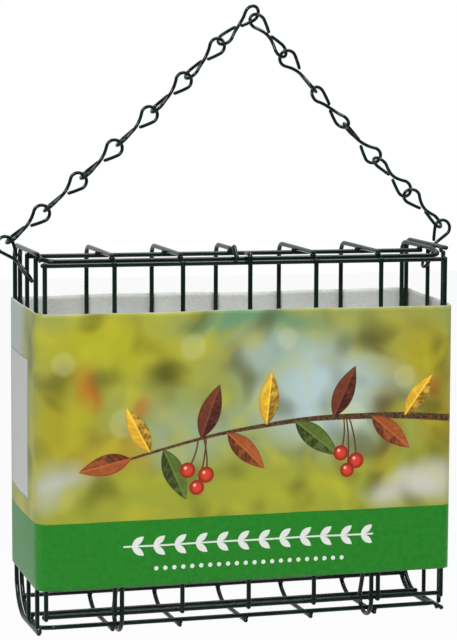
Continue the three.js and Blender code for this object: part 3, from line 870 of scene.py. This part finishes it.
def card_mesh():
    """The outline swept up as two skins, bowed and waved a little, with their edges closed."""
    points, walked, length = card_outline()
    vertices, print_places, faces, slots = [], [], [], []
    for skin in (0, 1):
        for point, way, walk in zip(points, card_ways(points), walked):
            on_side = abs(way.x) ** 3
            share = (point.y - card_front) / (card_back - card_front)
            bow = SIDE_BOW * on_side * (LEFT_BOW_SHARE if point.x < 0 else RIGHT_BOW_SHARE)
            middle = math.sin(math.pi * min(1, max(0, share)))
            lap = LAP_RISE if 0 < length - walk < GLUE_LAP else 0.0
            cut = sum(rise * math.sin(walk * turns + start) for rise, turns, start in CUT_WAVES)
            on_back = min(1, max(0, share * 1.6 - 0.6))
            high = CARD_HIGH + cut * 0.5 + BACK_WAVE * math.sin(walk * BACK_WAVE_TURNS) * on_back
            for row in range(CARD_ROWS + 1):
                up = row / CARD_ROWS
                belly = math.sin(math.pi * up)
                ripple = RIPPLE * math.sin(walk * RIPPLE_TURNS + 3 * up) * belly
                out = bow * middle * belly ** 0.7 + ripple * (1 - on_side) - skin * CARD_THICK + lap
                place = point + way * out
                z = CARD_LOW + (high - CARD_LOW) * up + CARD_RISE * share + cut * 0.25 * (1 - up)
                vertices.append(hung(place.x, place.y, z))
                print_places.append((
                    0.5 + (walk - length / 2) / PRINT_SPAN,
                    (CARD_LOW + (CARD_HIGH - CARD_LOW) * up) / PRINT_HEIGHT,
                ))
    rows, columns = CARD_ROWS + 1, len(points)

    def face(slot, *corners):
        faces.append([(skin * columns + c) * rows + r for skin, c, r in corners])
        slots.append(slot)

    for c in range(columns - 1):
        for r in range(CARD_ROWS):
            face(PRINTED, (0, c, r), (0, c, r + 1), (0, c + 1, r + 1), (0, c + 1, r))
            face(PLAIN, (1, c, r), (1, c + 1, r), (1, c + 1, r + 1), (1, c, r + 1))
        face(CUT_EDGE, (0, c, 0), (0, c + 1, 0), (1, c + 1, 0), (1, c, 0))
        r = CARD_ROWS
        face(CUT_EDGE, (1, c, r), (1, c + 1, r), (0, c + 1, r), (0, c, r))
    for r in range(CARD_ROWS):
        face(CUT_EDGE, (0, 0, r), (1, 0, r), (1, 0, r + 1), (0, 0, r + 1))
    c = columns - 1
    for r in range(CARD_ROWS):
        face(CUT_EDGE, (0, c, r + 1), (1, c, r + 1), (1, c, r), (0, c, r))
    mesh = bpy.data.meshes.new("card_sleeve_printed")
    mesh.from_pydata(vertices, [], faces)
    mesh.polygons.foreach_set("material_index", slots)
    mesh.polygons.foreach_set("use_smooth", [slot != CUT_EDGE for slot in slots])
    print_map = mesh.uv_layers.new(name="print")
    for loop in mesh.loops:
        print_map.data[loop.index].uv = print_places[loop.vertex_index]
    return mesh


MM = 0.001
GARDEN_RISE = (34, 104)  # from its low to its high tone, in millimetres on the print
GARDEN_LOW, GARDEN_HIGH = paint(150, 154, 44), paint(140, 150, 84)
GARDEN_SHADE, GARDEN_SHINE = paint(74, 74, 16), paint(184, 178, 40)
GARDEN_DISC, GARDEN_DRIFT = paint(228, 226, 170), (20, 18, 0)
SOFT_PATCHES = [  # a garden far out of focus: middle, half width, half height, colour, strength
    ((-52, 99), (46, 17), (170, 166, 22), 0.95), ((-70, 72), (16, 24), (160, 150, 22), 0.9),
    ((28, 80), (30, 22), (172, 194, 196), 0.95), ((6, 92), (13, 12), (150, 172, 160), 0.8),
    ((-18, 66), (28, 15), (146, 162, 128), 0.85), ((-2, 106), (30, 6), (92, 142, 108), 0.85),
    ((64, 96), (20, 18), (164, 152, 24), 0.95), ((74, 66), (12, 24), (158, 138, 26), 0.9),
    ((52, 62), (6, 22), (112, 88, 42), 0.85), ((38, 52), (5, 14), (104, 92, 40), 0.6),
    ((-52, 60), (16, 12), (168, 140, 30), 0.8), ((-62, 84), (6, 7), (172, 98, 20), 0.85),
    ((-40, 78), (5, 6), (176, 108, 24), 0.7), ((70, 82), (5, 6), (168, 96, 22), 0.75),
    ((-30, 90), (7, 6), (72, 74, 14), 0.75), ((-70, 50), (15, 11), (182, 184, 176), 0.9),
    ((46, 98), (6, 5), (84, 82, 20), 0.7), ((72, 50), (7, 8), (92, 110, 30), 0.6),
    ((-2, 84), (4, 6), (104, 104, 52), 0.6), ((-44, 46), (34, 8), (150, 156, 40), 0.9),
    ((22, 43), (36, 8), (158, 162, 42), 0.9), ((66, 42), (20, 8), (196, 194, 184), 0.9),
]
BRIGHT_DISCS = [
    ((-22, 97), 5), ((14, 99), 4), ((-48, 70), 5.5), ((60, 84), 4.5), ((40, 70), 5),
    ((-70, 92), 4.5),
]
TWIG = (12, 68, 0.10, -0.0016)  # a place along it, its height and slope there, and how it curves
TWIG_ENDS, TWIG_HALVES, TWIG_CUT = (-46, 81), (0.5, 1.3), 82
BARK, BARK_PALE, STALK = paint(58, 36, 22), paint(104, 72, 42), paint(92, 62, 30)
LEAF_TONES = [(150, 76, 30), (206, 158, 38), (84, 100, 34), (104, 50, 28)]
TWIG_LEAVES = [  # place along the twig, angle, length, width
    (-45, 192, 20, 8.4), (-38, 118, 19, 8.0), (-33, -66, 21, 8.6), (-19, 70, 21, 8.8),
    (-9, -44, 20, 8.4), (6, 84, 20, 8.4), (17, -38, 22, 9.0), (32, 66, 21, 8.6),
    (47, -40, 20, 8.4), (60, 54, 19, 7.8),
]
TWIG_BERRIES = [  # place along the twig, then the berry's middle and radius
    (-20, (-24, 52), 2.9), (-18, (-17, 50), 3.0), (-17, (-20.5, 45.5), 2.8),
    (36, (35, 56), 2.9), (38, (41, 53), 3.0), (37, (37.5, 49.5), 2.7),
]
BERRY_LIGHT, BERRY_DARK, BERRY_GLINT = paint(206, 62, 34), paint(140, 26, 22), paint(250, 214, 190)
BAND_TOP = 34.5
BAND_DARK, BAND_LIGHT, BAND_WHITE = paint(26, 120, 24), paint(32, 129, 30), paint(214, 218, 210)
GARLAND_Z, GARLAND_STEP, GARLAND_HALF = 25.0, 8.0, 48.0
GARLAND_LEAF = (8.0, 1.25)  # square of its half length, half width
DOTS_Z, DOTS_STEP, DOTS_HALF = 16.6, 3.4, 37.4
PANEL_X, PANEL_Z = (91, 122), (41, 92)  # the bare panel on each flank
PANEL_RIM, PANEL_GREY = paint(120, 128, 112), paint(186, 189, 184)
FLANK_X, FLANK_Z, FLANK_GREY = (92, 108), (84, 108), paint(166, 175, 168)
BACK_X, BACK_GREY = (125.5, 126.5), paint(178, 183, 178)
FOLDS_X, RUBBED_CARD = (78.6, 126.4), paint(222, 222, 214)


def far_from(card, place, middle):
    """How far each place on the print is from a point of it."""
    return card.vector("LENGTH", card.vector("SUBTRACT", place, (*middle, 0)), output="Value")


def along_aside(card, place, start, way):
    """How far each place on the print is along a line from its start, and aside from the line."""
    off = card.vector("SUBTRACT", place, (*start, 0))
    axes = ((*way, 0), (-way[1], way[0], 0))
    return [card.vector("DOT_PRODUCT", off, axis, "Value") for axis in axes]


def soft_garden(card, spread, z):
    """Soft patches of colour over an olive ground, as a garden far out of focus."""
    wander = card.vector("SUBTRACT", card.noise(spread, 0.04, 0.4, "Color"), (0.5, 0.5, 0.5))
    loose = card.vector("ADD", spread, card.vector("MULTIPLY", wander, GARDEN_DRIFT))
    colour = card.mix(card.step(z, *GARDEN_RISE), GARDEN_LOW, GARDEN_HIGH)
    for middle, (half_x, half_z), tone, strength in SOFT_PATCHES:
        off = card.vector("SUBTRACT", loose, (*middle, 0))
        far = card.vector("LENGTH", card.vector("DIVIDE", off, (half_x, half_z, 1)), output="Value")
        colour = card.mix(card.fall(far, 0.2, 1.35, strength), colour, paint(*tone))
    shade = card.noise(spread, 0.075, detail=0.3)
    colour = card.mix(card.step(shade, 0.46, 0.78, high=0.6), colour, GARDEN_SHADE)
    shine = card.noise(loose, 0.1, detail=0.3)
    colour = card.mix(card.step(shine, 0.46, 0.8, high=0.5), colour, GARDEN_SHINE)
    for middle, radius in BRIGHT_DISCS:
        disc = card.fall(far_from(card, spread, middle), radius * 0.7, radius * 1.2, 0.16)
        colour = card.mix(disc, colour, GARDEN_DISC)
    return colour


def twig_height(along):
    """The twig's height at a place along it, for a number or a Shade."""
    at_x, at_z, slope, curl = TWIG
    run = along - at_x
    return run * slope + run * run * curl + at_z


def twig_stem(card, spread, x, z, colour):
    """The brown twig, thicker towards its right end."""
    half = card.step(x, *TWIG_ENDS, *TWIG_HALVES)
    stem = card.fall(abs(z - twig_height(x)) - half, -0.15, 0.15)
    stem = stem * card.step(x, TWIG_ENDS[0], TWIG_ENDS[0] + 1)
    stem = stem * card.fall(x, TWIG_CUT, TWIG_CUT + 1)
    grain = card.step(card.noise(spread, 0.9, detail=3), 0.35, 0.65)
    return card.mix(stem, colour, card.mix(grain, BARK, BARK_PALE))


def twig_leaves(card, spread, colour):
    """Pointed leaves with a darker half, pale veins and a dark rim."""
    mottle = card.noise(spread, 0.35, detail=3)
    for k, (foot_x, angle, length, width) in enumerate(TWIG_LEAVES):
        way = (math.cos(math.radians(angle)), math.sin(math.radians(angle)))
        middle = (foot_x + way[0] * length / 2, twig_height(foot_x) + way[1] * length / 2)
        along, side = along_aside(card, spread, middle, way)
        along, side = along / (length / 2), side / (width / 2)
        inside = 1 - along * along - abs(side) * (1.1 + along * 0.25)
        red, green, blue = LEAF_TONES[k % len(LEAF_TONES)]
        dark = paint(red * 0.62, green * 0.6, blue * 0.7)
        pale = paint(min(255, red * 1.25), min(255, green * 1.3), min(255, blue * 1.6))
        tone = card.mix(card.step(side, -0.08, 0.08), dark, paint(red, green, blue))
        tone = card.mix(card.step(mottle + along * 0.12, 0.42, 0.68, high=0.5), tone, pale)
        veins = abs(((along * 4.5 - abs(side) * 1.6) % 1) - 0.5)
        tone = card.mix(card.fall(veins, 0.0, 0.1, 0.45), tone, pale)
        tone = card.mix(card.fall(abs(side), 0.04, 0.1, 0.8), tone, pale)
        tone = card.mix(card.fall(inside, 0.04, 0.22, 0.4), tone, dark)
        colour = card.mix(card.step(inside, -0.03, 0.05), colour, tone)
    return colour


def twig_berries(card, spread, colour):
    """Curved stalks down from the twig, and over them the red berries, each with a glint."""
    for foot_x, middle, _ in TWIG_BERRIES:
        foot = (foot_x, twig_height(foot_x))
        reach = math.dist(foot, middle)
        way = ((middle[0] - foot[0]) / reach, (middle[1] - foot[1]) / reach)
        along, side = along_aside(card, spread, foot, way)
        along = along / reach
        stalk = card.fall(abs(side + 3 * along * (along - 1)), 0.2, 0.42)
        stalk = stalk * card.step(along, 0, 0.04) * card.fall(along, 0.96, 1)
        colour = card.mix(stalk, colour, STALK)
    for _, (cx, cz), radius in TWIG_BERRIES:
        far = far_from(card, spread, (cx, cz))
        glint = far_from(card, spread, (cx - 0.8, cz + 0.9))
        tone = card.mix(card.step(far, radius * 0.3, radius), BERRY_LIGHT, BERRY_DARK)
        tone = card.mix(card.fall(glint, 0.2, 0.8, 0.75), tone, BERRY_GLINT)
        colour = card.mix(card.fall(far, radius - 0.15, radius + 0.15), colour, tone)
    return colour


def green_band(card, spread, x, z):
    """The green band: a pale garland of leaf pairs on a line, and a row of dots under it."""
    ink = card.noise(spread, 0.5, detail=3)
    band = card.mix(card.step(ink, 0.3, 0.7), BAND_DARK, BAND_LIGHT)
    cell = (x % GARLAND_STEP) - GARLAND_STEP / 2
    lift = abs(z - GARLAND_Z)
    turned = cell * 0.8 + lift * 0.6 - 2.2
    wide = lift * 0.8 - cell * 0.6 - 0.6
    long_square, half_wide = GARLAND_LEAF
    sprig = card.step(1 - turned * turned / long_square - abs(wide) / half_wide, -0.05, 0.1)
    sprig = sprig.most(card.fall(lift, 0.22, 0.42))
    sprig = sprig * card.fall(abs(x), GARLAND_HALF - 0.1, GARLAND_HALF + 0.1)
    dot_x, dot_z = (x % DOTS_STEP) - DOTS_STEP / 2, z - DOTS_Z
    dots = card.fall(dot_x * dot_x + dot_z * dot_z, 0.5, 0.8)
    dots = dots * card.fall(abs(x), DOTS_HALF - 0.1, DOTS_HALF + 0.1)
    return card.mix(sprig.most(dots), band, BAND_WHITE)


def bare_card(card, x, z, colour):
    """Past the picture the print fades to grey: a bare panel on each flank, and a plain back."""
    above = card.step(z, BAND_TOP, BAND_TOP + 0.2)
    beside = abs(x)
    faded = card.step(beside, *FLANK_X) * card.step(z + beside * 0.4, *FLANK_Z)
    colour = card.mix(faded * above, colour, FLANK_GREY)
    inset = (beside - PANEL_X[0]).least(PANEL_X[1] - beside)
    inset = inset.least(z - PANEL_Z[0]).least(PANEL_Z[1] - z)
    colour = card.mix(card.step(inset, -0.1, 0.1), colour, PANEL_RIM)
    colour = card.mix(card.step(inset, 0.3, 0.5), colour, PANEL_GREY)
    return card.mix(card.step(beside, *BACK_X) * above, colour, BACK_GREY)


def printed_card():
    """Print and varnish: a soft garden with a leafy twig over it, above a plain green band."""
    card = Finish("printed card")
    uv = card.node("ShaderNodeUVMap", uv_map="print")
    size, shift = (PRINT_SPAN / MM, PRINT_HEIGHT / MM, 0), (-PRINT_SPAN / MM / 2, 0, 0)
    spread = card.node("ShaderNodeVectorMath", {0: uv, 1: size, 2: shift}, operation="MULTIPLY_ADD")
    x, z = (card.node("ShaderNodeSeparateXYZ", {0: spread}, axis) for axis in "XY")
    colour = soft_garden(card, spread, z)
    colour = twig_stem(card, spread, x, z, colour)
    colour = twig_leaves(card, spread, colour)
    colour = twig_berries(card, spread, colour)
    in_band = card.fall(z, BAND_TOP - 0.12, BAND_TOP + 0.12)
    colour = card.mix(in_band, colour, green_band(card, spread, x, z))
    colour = bare_card(card, x, z, colour)
    speck = card.noise(spread, 3.0, detail=4)
    fold = abs(abs(x) - FOLDS_X[0]).least(abs(abs(x) - FOLDS_X[1]))
    rubbed = card.fall(fold, 0.2, 1.6, 0.35) * card.step(speck, 0.56, 0.85)
    cut = (z - CARD_LOW / MM).least(CARD_HIGH / MM - z)
    rubbed = rubbed.most(card.fall(cut, 0.0, 0.5, 0.5) * card.step(speck, 0.5, 0.75))
    colour = card.mix(rubbed, colour, RUBBED_CARD)
    fibres = card.noise(spread, 1.4, detail=4)
    dents = card.noise(spread, 0.06, detail=1)
    bump = card.bump(fibres * 0.12 + dents * 1.5, strength=0.35, depth=0.0004)
    rough = card.step(fibres, 0.3, 0.7, low=0.34, high=0.44) + rubbed * 0.3
    card.surface(Base_Color=colour, Roughness=rough, Normal=bump, IOR=1.43)
    return card.material


def plain_card(name, pale, dim, fibre):
    """The card's unprinted side and its cut edges: pale grey board with a faint fibre."""
    card = Finish(name)
    place = card.node("ShaderNodeTexCoord", output="Object")
    pulp = card.noise(place, fibre, detail=3)
    stain = card.noise(place, 30, detail=2)
    colour = card.mix(card.step(pulp, 0.3, 0.7), dim, pale)
    colour = card.mix(card.step(stain, 0.4, 0.75, high=0.25), colour, CARD_STAIN)
    rough = card.step(pulp, 0.3, 0.7, low=0.62, high=0.8)
    bump = card.bump(pulp * 0.6 + stain, strength=0.3, depth=0.0001)
    card.surface(Base_Color=colour, Roughness=rough, Normal=bump)
    return card.material


card_shape = card_mesh()
card_shape.materials.append(printed_card())
card_shape.materials.append(plain_card("card inside", *CARD_INSIDE))
card_shape.materials.append(plain_card("card cut edge", *CARD_CUT))
sleeve = put("card_sleeve_printed", card_shape)
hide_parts("card_sleeve")
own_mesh(sleeve)
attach(sleeve, "sleeve")
